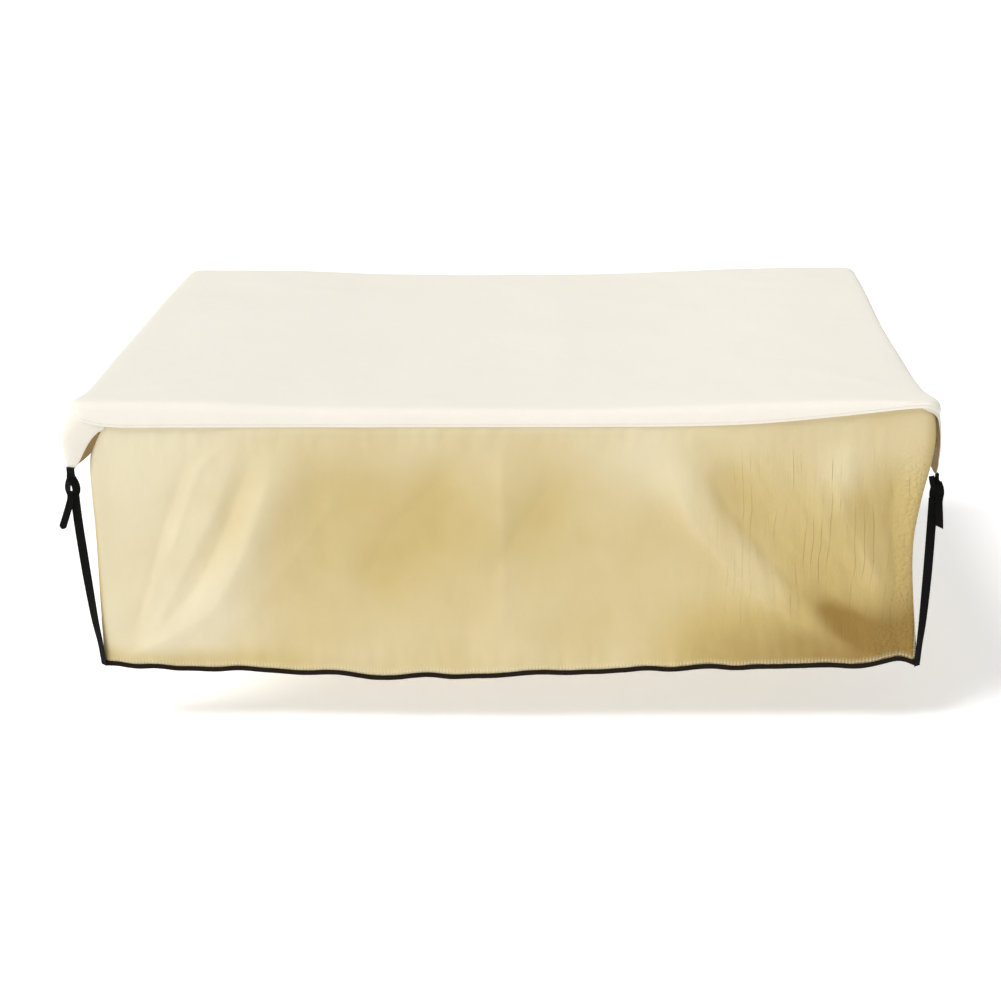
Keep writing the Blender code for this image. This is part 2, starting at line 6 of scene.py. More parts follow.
import bpy
from mathutils import Matrix, Vector, noise
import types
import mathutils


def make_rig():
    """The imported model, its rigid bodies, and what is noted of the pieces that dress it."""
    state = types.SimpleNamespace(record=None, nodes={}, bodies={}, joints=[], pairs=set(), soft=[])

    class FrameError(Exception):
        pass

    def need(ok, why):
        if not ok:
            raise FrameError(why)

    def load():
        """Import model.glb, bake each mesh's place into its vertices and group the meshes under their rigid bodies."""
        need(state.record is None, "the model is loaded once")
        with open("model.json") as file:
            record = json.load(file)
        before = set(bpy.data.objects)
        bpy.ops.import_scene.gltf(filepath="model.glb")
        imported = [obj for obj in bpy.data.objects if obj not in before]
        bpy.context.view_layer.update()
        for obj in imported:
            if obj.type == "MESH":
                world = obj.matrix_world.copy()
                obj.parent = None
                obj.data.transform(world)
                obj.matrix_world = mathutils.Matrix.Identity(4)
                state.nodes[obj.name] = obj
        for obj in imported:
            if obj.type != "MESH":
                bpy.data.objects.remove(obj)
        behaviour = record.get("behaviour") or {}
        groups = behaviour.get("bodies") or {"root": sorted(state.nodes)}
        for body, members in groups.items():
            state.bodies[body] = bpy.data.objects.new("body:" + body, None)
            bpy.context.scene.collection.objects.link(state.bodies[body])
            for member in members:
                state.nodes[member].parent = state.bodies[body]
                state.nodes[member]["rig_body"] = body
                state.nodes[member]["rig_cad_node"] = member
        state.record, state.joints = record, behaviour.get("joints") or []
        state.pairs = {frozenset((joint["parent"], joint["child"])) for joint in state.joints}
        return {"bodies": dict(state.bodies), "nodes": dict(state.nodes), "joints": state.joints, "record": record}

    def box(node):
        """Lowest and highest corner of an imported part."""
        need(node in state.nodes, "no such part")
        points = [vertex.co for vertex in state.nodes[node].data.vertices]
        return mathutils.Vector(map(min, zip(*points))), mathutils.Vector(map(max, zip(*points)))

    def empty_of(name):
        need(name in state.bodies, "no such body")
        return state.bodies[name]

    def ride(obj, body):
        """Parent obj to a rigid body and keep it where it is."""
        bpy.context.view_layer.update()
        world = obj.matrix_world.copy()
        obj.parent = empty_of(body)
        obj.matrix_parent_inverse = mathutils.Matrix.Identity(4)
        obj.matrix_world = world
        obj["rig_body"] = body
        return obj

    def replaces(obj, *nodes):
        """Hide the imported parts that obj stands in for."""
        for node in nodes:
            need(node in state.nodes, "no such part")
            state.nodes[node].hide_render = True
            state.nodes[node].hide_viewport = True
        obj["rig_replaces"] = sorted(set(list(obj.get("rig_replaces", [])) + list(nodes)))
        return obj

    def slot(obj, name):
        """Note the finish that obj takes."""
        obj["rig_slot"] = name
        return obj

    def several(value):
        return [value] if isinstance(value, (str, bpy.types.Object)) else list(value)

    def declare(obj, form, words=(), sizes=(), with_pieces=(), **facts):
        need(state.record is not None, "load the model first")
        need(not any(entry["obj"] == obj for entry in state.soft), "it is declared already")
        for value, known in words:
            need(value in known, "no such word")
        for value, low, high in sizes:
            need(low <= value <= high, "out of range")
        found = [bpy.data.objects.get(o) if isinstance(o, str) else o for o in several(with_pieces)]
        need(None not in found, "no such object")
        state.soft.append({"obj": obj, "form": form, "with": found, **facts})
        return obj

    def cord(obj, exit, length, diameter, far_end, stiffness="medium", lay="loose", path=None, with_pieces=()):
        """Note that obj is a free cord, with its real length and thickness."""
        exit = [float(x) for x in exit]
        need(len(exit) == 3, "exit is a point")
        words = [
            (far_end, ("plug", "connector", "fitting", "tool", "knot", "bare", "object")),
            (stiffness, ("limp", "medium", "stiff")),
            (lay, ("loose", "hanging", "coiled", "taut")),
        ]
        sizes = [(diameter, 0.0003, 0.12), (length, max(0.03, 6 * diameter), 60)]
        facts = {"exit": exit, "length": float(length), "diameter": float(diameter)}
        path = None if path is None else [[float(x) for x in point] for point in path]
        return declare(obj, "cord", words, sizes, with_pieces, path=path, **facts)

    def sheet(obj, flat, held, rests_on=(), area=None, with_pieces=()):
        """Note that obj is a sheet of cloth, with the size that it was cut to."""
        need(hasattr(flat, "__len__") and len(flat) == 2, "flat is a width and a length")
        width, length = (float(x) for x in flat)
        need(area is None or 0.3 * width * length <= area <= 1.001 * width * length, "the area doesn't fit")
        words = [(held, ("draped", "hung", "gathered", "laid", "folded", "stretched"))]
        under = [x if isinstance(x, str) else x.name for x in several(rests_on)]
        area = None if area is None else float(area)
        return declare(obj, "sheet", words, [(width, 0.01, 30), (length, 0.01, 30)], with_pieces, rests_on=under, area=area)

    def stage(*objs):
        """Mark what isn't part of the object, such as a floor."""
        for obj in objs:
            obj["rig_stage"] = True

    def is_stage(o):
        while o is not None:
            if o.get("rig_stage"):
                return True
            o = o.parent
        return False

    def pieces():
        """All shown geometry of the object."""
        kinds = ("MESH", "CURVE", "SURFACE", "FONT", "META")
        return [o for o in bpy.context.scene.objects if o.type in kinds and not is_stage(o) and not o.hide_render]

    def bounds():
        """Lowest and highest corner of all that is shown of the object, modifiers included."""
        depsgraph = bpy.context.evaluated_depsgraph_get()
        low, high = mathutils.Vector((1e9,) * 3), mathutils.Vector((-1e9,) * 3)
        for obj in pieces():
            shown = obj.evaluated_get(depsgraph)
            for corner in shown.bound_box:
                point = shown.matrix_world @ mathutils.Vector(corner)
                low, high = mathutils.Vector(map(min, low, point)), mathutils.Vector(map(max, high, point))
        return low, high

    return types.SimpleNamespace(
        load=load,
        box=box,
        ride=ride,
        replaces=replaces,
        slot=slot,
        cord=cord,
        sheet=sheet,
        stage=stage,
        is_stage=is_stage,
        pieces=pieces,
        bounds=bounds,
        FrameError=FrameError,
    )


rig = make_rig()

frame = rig.load()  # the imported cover, in metres: +X to the right, -Y to the front, +Z up
cadLow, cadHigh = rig.bounds()
print("frame loaded:", len(frame["nodes"]), "nodes")


# Camera, light and floor

studio = {
    "lens": 67.72,
    "sensor": 36,
    "camera": (0.147, -4.564, 1.156),
    "down": 19.29,  # degrees below level
    "left": 2.19,
    "roll": -0.75,
    "floorHeight": -0.740,
    "floorSize": 160.0,
    "floorColour": (0.92, 0.92, 0.92),
    "floorRoughness": 0.95,
    "floorGloss": 0.1,
    "floorGlow": 0.32,
    "farthest": 300,
    "skyColour": (1.0, 0.997, 0.99),
    "skyStrength": 0.50,
    "sunFrom": (-0.52, -0.28, 0.81),
    "sunStrength": 2.10,
    "sunWidth": 24,  # degrees, for soft shade
}


def setUpStudio():
    turn = Matrix.Rotation(math.radians(studio["left"]), 4, "Z")
    turn @= Matrix.Rotation(math.radians(90 - studio["down"]), 4, "X")
    turn @= Matrix.Rotation(math.radians(studio["roll"]), 4, "Z")
    bpy.ops.object.camera_add(location=studio["camera"], rotation=turn.to_euler())
    camera = bpy.context.object
    camera.name = "camera"
    camera.data.lens = studio["lens"]
    camera.data.sensor_width = studio["sensor"]
    camera.data.clip_end = studio["farthest"]
    bpy.context.scene.camera = camera
    aim = Vector(studio["sunFrom"]).to_track_quat("Z", "Y").to_euler()
    bpy.ops.object.light_add(type="SUN", location=studio["sunFrom"], rotation=aim)
    sun = bpy.context.object.data
    sun.energy = studio["sunStrength"]
    sun.angle = math.radians(studio["sunWidth"])
    sky = bpy.data.worlds.new("studioSky")
    sky.use_nodes = True
    backdrop = sky.node_tree.nodes["Background"]
    backdrop.inputs["Color"].default_value = (*studio["skyColour"], 1)
    backdrop.inputs["Strength"].default_value = studio["skyStrength"]
    bpy.context.scene.world = sky
    bpy.context.scene.view_settings.view_transform = "Standard"
    place = (0, 0, studio["floorHeight"])
    bpy.ops.mesh.primitive_plane_add(size=studio["floorSize"], location=place)
    floor = bpy.context.object
    floor.name = "studio_floor"
    paint = bpy.data.materials.new("floorPaint")
    paint.use_nodes = True
    shader = paint.node_tree.nodes["Principled BSDF"]
    shader.inputs["Base Color"].default_value = (*studio["floorColour"], 1)
    shader.inputs["Roughness"].default_value = studio["floorRoughness"]
    shader.inputs["Specular IOR Level"].default_value = studio["floorGloss"]
    shader.inputs["Emission Color"].default_value = (1, 1, 1, 1)
    shader.inputs["Emission Strength"].default_value = studio["floorGlow"]
    floor.data.materials.append(paint)
    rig.stage(floor)


setUpStudio()
print("camera, light and floor made")


# Finishes


class Shade:
    # one output of a shader node, that sums and products can be written with
    def __init__(self, tree, socket=None):
        self.tree = tree
        self.socket = socket

    def node(self, kind, settings, values, output=0):
        made = self.tree.nodes.new(kind)
        for name, value in settings.items():
            setattr(made, name, value)
        for name, value in values.items():
            if isinstance(value, Shade):
                self.tree.links.new(value.socket, made.inputs[name])
            else:
                made.inputs[name].default_value = value
        return Shade(self.tree, made.outputs[output])

    def maths(self, operation, first, second=0.0):
        return self.node("ShaderNodeMath", {"operation": operation}, {0: first, 1: second})

    def ridges(self, pitch):  # rounded ridges from 0 to 1, so far apart
        wave = self.maths("SINE", self * (math.pi / pitch))
        return self.maths("ABSOLUTE", wave)

    def __add__(self, other):
        return self.maths("ADD", self, other)

    def __sub__(self, other):
        return self.maths("SUBTRACT", self, other)

    def __rsub__(self, other):
        return self.maths("SUBTRACT", other, self)

    def __mul__(self, other):
        return self.maths("MULTIPLY", self, other)

    __radd__ = __add__
    __rmul__ = __mul__


def newFinish(name, sheen, gloss=0.3):
    material = bpy.data.materials.new(name)
    material.use_nodes = True
    shader = material.node_tree.nodes["Principled BSDF"]
    shader.inputs["Sheen Weight"].default_value = sheen
    shader.inputs["Sheen Roughness"].default_value = 0.5
    shader.inputs["Specular IOR Level"].default_value = gloss
    return material, Shade(material.node_tree)


def feed(material, name, value):
    shader = material.node_tree.nodes["Principled BSDF"]
    material.node_tree.links.new(value.socket, shader.inputs[name])


def spread(value, low, high):  # 0 at low and 1 at high
    settings = {"interpolation_type": "SMOOTHSTEP"}
    return value.node("ShaderNodeMapRange", settings, {"Value": value, "From Min": low, "From Max": high})


def clouds(where, scale, detail=3.0, stretch=(1, 1, 1)):
    spaced = where.node("ShaderNodeMapping", {}, {"Vector": where, "Scale": stretch})
    given = {"Vector": spaced, "Scale": scale, "Detail": detail, "Roughness": 0.55}
    return where.node("ShaderNodeTexNoise", {}, given, "Fac")


def tint(share, first, second):
    given = {0: share}
    for slot, value in ((6, first), (7, second)):
        given[slot] = (*value, 1) if isinstance(value, tuple) else value
    return share.node("ShaderNodeMix", {"data_type": "RGBA"}, given, 2)


def bumpUp(material, height):
    feed(material, "Normal", height.node("ShaderNodeBump", {}, {"Height": height, "Distance": 1.0}))


def alongAndAcross(start):  # the way the cloth was cut, in metres
    way = start.node("ShaderNodeUVMap", {"uv_map": "UVMap"}, {})
    return [way.node("ShaderNodeSeparateXYZ", {}, {0: way}, axis) for axis in "XY"]


def noted(start, name):  # what the mesh carries at its vertices
    return start.node("ShaderNodeAttribute", {"attribute_name": name}, {}, "Fac")


weave = {
    "pitch": 0.0012,  # from one thread to the next
    "depth": 0.00016,
}
creamLook = {
    "top": ((0.903, 0.858, 0.762), (0.915, 0.870, 0.775)),  # two colours that it varies between
    # the top's cream dimmed with painted shade, for the side flaps
    "side": ((0.800, 0.755, 0.650), (0.850, 0.805, 0.705)),
    # the inner faces of the flaps, in painted shade: brown at the left, greyer at the right
    "brown": ((0.315, 0.192, 0.040), (0.28, 0.185, 0.07)),
    "grey": ((0.28, 0.185, 0.07), (0.62, 0.57, 0.47)),
    "patches": (3.2, 4.0),  # how close together, and how fine
    "patchSpan": (0.30, 0.70),
    "crumple": (38.0, 5.0),
    "crumpleHeight": 0.0008,
    "soft": (9.0, 2.0),
    "softHeight": 0.0020,
    "sheen": 0.10,
    "roughness": (0.74, 0.90),  # from and to
}
tanLook = {
    # the tan as painted shade (deep), between (middle), and as painted light (pale)
    "deep": (0.315, 0.192, 0.040),
    "middle": (0.605, 0.461, 0.180),
    "pale": (0.810, 0.725, 0.505),
    "deepSpan": (0.0, 0.55),
    "paleSpan": (0.40, 1.0),
    "patches": (5.5, 5.0),
    "patchiness": 0.22,
    "creasePitch": 0.018,
    "swing": (5.0, 2.0, (1.0, 1.0, 0.7)),  # how close together, how fine, and the stretch
    "swingWidth": 0.05,
    "creaseWidth": (0.006, 0.050),  # shares of the pitch
    "gaps": (9.0, 3.0, (2.6, 1.0, 0.6)),  # where the creases come and go
    "gapSpan": (0.47, 0.60),
    "creaseShade": 0.13,
    "creaseDepth": 0.0010,
    "gatherPitch": 0.0075,  # along the stitches
    "gatherSwing": 0.003,
    "gatherPace": 30.0,
    "gatherShade": 0.45,
    "gatherHeight": 0.0011,
    "crumple": (44.0, 5.0),
    "crumpleHeight": 0.0009,
    "streaks": (34.0, 4.0, (1.0, 0.6, 0.10)),
    "streakHeight": 0.0030,
    "crackPace": 72.0,
    "crackSpan": (0.0, 0.35),
    "crackHeight": 0.0017,
    "sheen": 0.15,
    "roughness": (0.64, 0.82),
}
webbingLook = {
    "tape": ((0.009, 0.006, 0.004), (0.030, 0.019, 0.012)),
    "tapePitch": 0.0016,
    "black": ((0.002, 0.002, 0.002), (0.010, 0.009, 0.009)),
    "blackPitch": 0.0014,
    "ribSlant": 2.0,
    "ribHeight": 0.00022,
    "worn": (130.0, 4.0),
    "wornHeight": 0.00025,
    "gloss": 0.10,
    "roughness": (0.66, 0.86),
}
threadLook = {
    "tan": (0.82, 0.74, 0.56),
    "cream": (0.84, 0.79, 0.70),
    "black": (0.03, 0.027, 0.025),
    "shade": 0.75,
    "twist": (900.0, 2.0),
    "sheen": 0.1,
    "roughness": (0.5, 0.7),
}


def between(share, low, high):
    return share * (high - low) + low


def makeCream(name, deep, pale):
    material, start = newFinish(name, creamLook["sheen"])
    where = start.node("ShaderNodeTexCoord", {}, {}, "Object")
    along, across = alongAndAcross(start)
    patches = spread(clouds(where, *creamLook["patches"]), *creamLook["patchSpan"])
    feed(material, "Base Color", tint(patches, deep, pale))
    crumple = clouds(where, *creamLook["crumple"])
    soft = clouds(where, *creamLook["soft"])
    threads = along.ridges(weave["pitch"]) * across.ridges(weave["pitch"])
    height = threads * weave["depth"] + crumple * creamLook["crumpleHeight"]
    bumpUp(material, height + soft * creamLook["softHeight"])
    feed(material, "Roughness", between(crumple, *creamLook["roughness"]))
    return material


def makeTan():
    # the noted attribute carries painted light and shade: 0 in the deep folds, where shade falls, and 1 where the
    # cloth is most lit
    material, start = newFinish("tanCloth", tanLook["sheen"])
    where = start.node("ShaderNodeTexCoord", {}, {}, "Object")
    along, across = alongAndAcross(start)
    lightAndTone = noted(start, "faded") + (clouds(where, *tanLook["patches"]) - 0.5) * tanLook["patchiness"]
    colour = tint(spread(lightAndTone, *tanLook["deepSpan"]), tanLook["deep"], tanLook["middle"])
    colour = tint(spread(lightAndTone, *tanLook["paleSpan"]), colour, tanLook["pale"])
    # fine upright creases that come and go, darkened with painted shade
    creased = noted(start, "creased")
    x = where.node("ShaderNodeSeparateXYZ", {}, {0: where}, "X")
    swing = clouds(where, *tanLook["swing"]) * tanLook["swingWidth"]
    turns = (x + swing) * (1 / tanLook["creasePitch"])
    middle = turns.maths("ABSOLUTE", turns.maths("FRACT", turns) - 0.5)
    broken = spread(clouds(where, *tanLook["gaps"]), *tanLook["gapSpan"])
    lines = (1 - spread(middle, *tanLook["creaseWidth"])) * broken * creased
    # small gathers along the stitches of the hem, with painted highlight on their ridges
    swayed = along + clouds(where, tanLook["gatherPace"]) * tanLook["gatherSwing"]
    gathers = swayed.ridges(tanLook["gatherPitch"]) * noted(start, "seamed")
    colour = tint(gathers * tanLook["gatherShade"], colour, tanLook["pale"])
    feed(material, "Base Color", tint(lines * tanLook["creaseShade"], colour, tanLook["deep"]))
    # the weave, a general crumple, and small cells where the coating has crinkled
    crumple = clouds(where, *tanLook["crumple"])
    streaks = clouds(where, *tanLook["streaks"])
    given = {"Vector": where, "Scale": tanLook["crackPace"]}
    cracks = where.node("ShaderNodeTexVoronoi", {"feature": "DISTANCE_TO_EDGE"}, given, "Distance")
    cells = spread(cracks, *tanLook["crackSpan"]) * noted(start, "crinkled")
    threads = along.ridges(weave["pitch"]) * across.ridges(weave["pitch"])
    height = threads * weave["depth"] + crumple * tanLook["crumpleHeight"]
    height = height + streaks * creased * tanLook["streakHeight"] - lines * tanLook["creaseDepth"]
    height = height + cells * tanLook["crackHeight"] + gathers * tanLook["gatherHeight"]
    bumpUp(material, height)
    feed(material, "Roughness", between(crumple, *tanLook["roughness"]))
    return material


def makeWebbing(name, colours, pitch):
    material, start = newFinish(name, 0.0, webbingLook["gloss"])
    where = start.node("ShaderNodeTexCoord", {}, {}, "Object")
    along, across = alongAndAcross(start)
    ribs = (along + across * webbingLook["ribSlant"]).ridges(pitch)
    worn = clouds(where, *webbingLook["worn"])
    feed(material, "Base Color", tint(ribs * worn, *colours))
    bumpUp(material, ribs * webbingLook["ribHeight"] + worn * webbingLook["wornHeight"])
    feed(material, "Roughness", between(worn, *webbingLook["roughness"]))
    return material


def makeThread(name, colour):
    material, start = newFinish(name, threadLook["sheen"])
    where = start.node("ShaderNodeTexCoord", {}, {}, "Object")
    twist = clouds(where, *threadLook["twist"])
    shaded = tuple(part * threadLook["shade"] for part in colour)
    feed(material, "Base Color", tint(twist, shaded, colour))
    feed(material, "Roughness", between(twist, *threadLook["roughness"]))
    return material


creamCloth = makeCream("creamCloth", *creamLook["top"])
# the flaps take the top's cream dimmed with painted shade, with painted shade on their inner faces
sideCloth = makeCream("sideCloth", *creamLook["side"])
brownInside = makeCream("brownInside", *creamLook["brown"])
paleInside = makeCream("paleInside", *creamLook["grey"])
tanCloth = makeTan()
tapeCloth = makeWebbing("bindingTape", webbingLook["tape"], webbingLook["tapePitch"])
blackWebbing = makeWebbing("blackWebbing", webbingLook["black"], webbingLook["blackPitch"])
tanThread = makeThread("tanThread", threadLook["tan"])
creamThread = makeThread("creamThread", threadLook["cream"])
blackThread = makeThread("blackThread", threadLook["black"])
print("finishes made")


# Helpers

sideways = Vector((1, 0, 0))
up = Vector((0, 0, 1))
meshing = {
    "weld": 0.00001,
    "gridWeld": 0.00005,
    "skinBend": 60,  # degrees between faces that are on the same side of a sheet
    "bevelBend": 35,
    "sharpBend": 55,
    "stripBend": 50,
}


def smooth(low, high, value):
    t = min(max((value - low) / (high - low), 0.0), 1.0)
    return t * t * (3 - 2 * t)


def blend(first, second, share):
    return first + (second - first) * share


def onlySelect(pieces):
    bpy.ops.object.select_all(action="DESELECT")
    for piece in pieces:
        piece.select_set(True)
    bpy.context.view_layer.objects.active = pieces[0]


def joinAs(name, pieces):
    onlySelect(pieces)
    bpy.ops.object.join()
    pieces[0].name = name
    pieces[0].data.name = name
    return pieces[0]


def copyOfNode(node, name):
    piece = bpy.data.objects.new(name, frame["nodes"][node].data.copy())
    piece.data.name = name
    piece.data.materials.clear()
    bpy.context.scene.collection.objects.link(piece)
    onlySelect([piece])
    bpy.ops.mesh.customdata_custom_splitnormals_clear()
    bpy.ops.object.mode_set(mode="EDIT")
    bpy.ops.mesh.select_all(action="SELECT")
    bpy.ops.mesh.remove_doubles(threshold=meshing["weld"])
    bpy.ops.mesh.normals_make_consistent(inside=False)
    bpy.ops.mesh.select_all(action="DESELECT")
    bpy.ops.object.mode_set(mode="OBJECT")
    return piece


def squareUp():
    bpy.ops.mesh.select_all(action="SELECT")
    limits = {"face_threshold": math.pi, "shape_threshold": math.pi, "topology_influence": 0.9}
    bpy.ops.mesh.tris_convert_to_quads(**limits)
    bpy.ops.object.mode_set(mode="OBJECT")


def addModifier(piece, kind, **settings):
    onlySelect([piece])
    modifier = piece.modifiers.new(kind, kind)
    for name, value in settings.items():
        setattr(modifier, name, value)
    bpy.ops.object.modifier_apply(modifier=modifier.name)


def outerSkin(node, name, toward, prepare=None, levels=3):
    # the outer side of a packed sheet, in squares, and finer
    piece = copyOfNode(node, name)
    seed = max(piece.data.polygons, key=lambda face: face.center.dot(toward))
    seed.select = True
    bpy.ops.object.mode_set(mode="EDIT")
    bpy.ops.mesh.select_mode(type="FACE")
    bpy.ops.mesh.faces_select_linked_flat(sharpness=math.radians(meshing["skinBend"]))
    bpy.ops.mesh.select_all(action="INVERT")
    bpy.ops.mesh.delete(type="FACE")
    squareUp()
    if prepare:
        prepare(piece)
    addModifier(piece, "SUBSURF", levels=levels, boundary_smooth="PRESERVE_CORNERS")
    return piece


def softSolid(node, name, finish, edge, levels):
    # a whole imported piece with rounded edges
    piece = copyOfNode(node, name)
    bpy.ops.object.mode_set(mode="EDIT")
    squareUp()
    bend = math.radians(meshing["bevelBend"])
    addModifier(piece, "BEVEL", width=edge, segments=2, limit_method="ANGLE", angle_limit=bend)
    addModifier(piece, "SUBSURF", levels=levels)
    piece.data.materials.append(finish)
    return piece


def finishSurface(piece, layUv):
    if not piece.data.uv_layers:
        piece.data.uv_layers.new(name="UVMap")
    layer = piece.data.uv_layers[0]
    layer.name = "UVMap"
    places = [layUv(vertex.co) for vertex in piece.data.vertices]
    for loop in piece.data.loops:
        layer.data[loop.index].uv = places[loop.vertex_index]
    onlySelect([piece])
    bpy.ops.object.shade_smooth_by_angle(angle=math.radians(meshing["sharpBend"]))


def moveBy(piece, relief):
    # each vertex moves along its normal by relief(place)
    moves = [vertex.normal * relief(vertex.co) for vertex in piece.data.vertices]
    for vertex, move in zip(piece.data.vertices, moves):
        vertex.co += move
    piece.data.update()


def note(piece, name, value):
    layer = piece.data.attributes.new(name, "FLOAT", "POINT")
    for vertex in piece.data.vertices:
        layer.data[vertex.index].value = value(vertex.co)


def rimOf(piece, keep):
    # the open edge, in order round the middle of the cover
    used = Counter(key for face in piece.data.polygons for key in face.edge_keys)
    found = {n for key, count in used.items() if count == 1 for n in key}
    places = [piece.data.vertices[n].co.copy() for n in found if keep(piece.data.vertices[n].co)]
    return sorted(places, key=lambda place: math.atan2(place.y, place.x))


def nearLine(points, x, across):
    # distance from a bent line, and how far along it
    best, share = math.inf, 0.0
    spans = len(points) - 1
    for n in range(spans):
        ax, ay = points[n]
        bx, by = points[n + 1][0] - ax, points[n + 1][1] - ay
        t = min(max(((x - ax) * bx + (across - ay) * by) / (bx * bx + by * by), 0.0), 1.0)
        distance = math.hypot(x - ax - bx * t, across - ay - by * t)
        if distance < best:
            best, share = distance, (n + t) / spans
    return best, share


def overSpan(span, value):
    # 0 at the span's start and 1 at its end, or 1 everywhere without a span
    return smooth(*span, value) if span else 1.0


crest = {
    "reach": 4,  # widths, past which a crease isn't felt
    "comes": (0.0, 0.25),  # shares of its length
    "goes": (1.0, 0.8),
    "rounding": 0.08,
    "lift": 0.28,  # makes up for the rounding
}


def creaseAt(creases, x, across):
    # each crease: height, width, points; it dies away towards both ends
    total = 0.0
    for height, width, points in creases:
        distance, share = nearLine(points, x, across)
        if distance < crest["reach"] * width:
            ends = smooth(*crest["comes"], share) * smooth(*crest["goes"], share)
            steep = math.sqrt((distance / width) ** 2 + crest["rounding"])
            total += height * ends * math.exp(crest["lift"] - steep)
    return total


def layStrip(name, rows, columns, place, finish, size, thickness):
    # a cut rectangle, laid where place(column, row) says
    bpy.ops.object.select_all(action="DESELECT")
    bpy.ops.mesh.primitive_grid_add(x_subdivisions=columns, y_subdivisions=rows, size=1, calc_uvs=True)
    sheet = bpy.context.object
    sheet.name = name
    sheet.data.name = name
    for vertex in sheet.data.vertices:
        vertex.co = place(round((vertex.co.x + 0.5) * columns), round((0.5 - vertex.co.y) * rows))
    for corner in sheet.data.uv_layers[0].data:
        corner.uv = (corner.uv.x * size[0], corner.uv.y * size[1])
    sheet.data.materials.append(finish)
    if thickness:
        addModifier(sheet, "SOLIDIFY", thickness=thickness, offset=0.0)
    bpy.ops.object.shade_smooth_by_angle(angle=math.radians(meshing["stripBend"]))
    return sheet


def evenly(points, step):
    # the same line with points a step apart
    result = [points[0]]
    left = step
    for start, end in zip(points, points[1:]):
        length = (end - start).length
        while left <= length:
            result.append(start.lerp(end, left / length))
            left += step
        left -= length
    return result


def sewAlong(name, cloth, line, rise, finish, thread):
    # a running stitch on the cloth, so far above its edge
    bpy.context.view_layer.update()
    line = [place + up * rise for place in line]
    heights = thread["heights"]
    pace = thread["stitch"] / len(heights)
    spots = evenly(line, pace)
    laid = []
    for n, spot in enumerate(spots):
        _, place, normal, _ = cloth.closest_point_on_mesh(spot)
        laid.append((place + normal * heights[n % len(heights)], normal))
    around = thread["sides"]

    def place(column, row):
        spot, normal = laid[row]
        ahead = laid[min(row + 1, len(laid) - 1)][0] - laid[max(row - 1, 0)][0]
        across = ahead.normalized().cross(normal)
        turn = 2 * math.pi * column / around
        return spot + (across * math.cos(turn) + normal * math.sin(turn)) * thread["radius"]

    size = (thread["radius"] * thread["girth"], len(laid) * pace)
    return layStrip(name, len(laid) - 1, around, place, finish, size, 0.0)


def dress(piece, slot, *nodes):
    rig.ride(piece, "root")
    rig.slot(piece, slot)
    if nodes:
        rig.replaces(piece, *nodes)


thread = {
    "stitch": 0.0066,
    "radius": 0.00050,
    "heights": (0.0, 0.00028, 0.00028, 0.00028, 0.0, -0.0011),  # above the cloth, through one stitch
    "sides": 5,
    "girth": 6,  # radii round it
}
fineThread = dict(thread, stitch=0.0042, radius=0.00032)


# The top

topSheet = {
    "middle": (0.815, 0.570),
    "border": 0.055,
    "insideShare": 0.70,  # of the triangles kept, all taken from the underside
    "rows": 18,
    "uvMiddle": 0.3,
    "rimBelow": 0.02,
    "thickness": 0.0018,
    "flat": (1.93, 1.44),
    "flatFrom": (-0.030, 0.002),  # heights between which the rolled edge becomes the flat top
    "puckerFrom": (0.010, -0.040),
    "wave": (0.0022, 3.1),  # height, and how close together
    "ripple": (0.0009, 11.0),
    "pucker": (0.0011, 52, 9),
    "seamRise": 0.0060,  # of the stitches above the edge
    "creases": (
        (0.0022, 0.030, ((-0.90, -0.60), (-0.66, -0.50), (-0.46, -0.46))),
        (0.0020, 0.034, ((0.90, -0.58), (0.70, -0.42), (0.46, -0.34))),
        (-0.0018, 0.040, ((-0.30, -0.62), (-0.26, -0.30), (-0.30, 0.10))),
        (0.0018, 0.045, ((0.10, -0.60), (0.14, -0.10), (0.10, 0.50))),
        (0.0016, 0.035, ((-0.90, 0.58), (-0.60, 0.44), (-0.42, 0.40))),
        (0.0018, 0.035, ((0.90, 0.58), (0.64, 0.46), (0.44, 0.40))),
    ),
}


def outward(value):  # -1 to 1, and gradual over the middle of the cover
    return min(max(value / topSheet["uvMiddle"], -1), 1)


def topUv(place):
    return place.x - outward(place.x) * place.z, place.y - outward(place.y) * place.z


def isInner(place, more=0.0):
    halfWidth, halfDepth = topSheet["middle"]
    return abs(place.x) < halfWidth + more and abs(place.y) < halfDepth + more


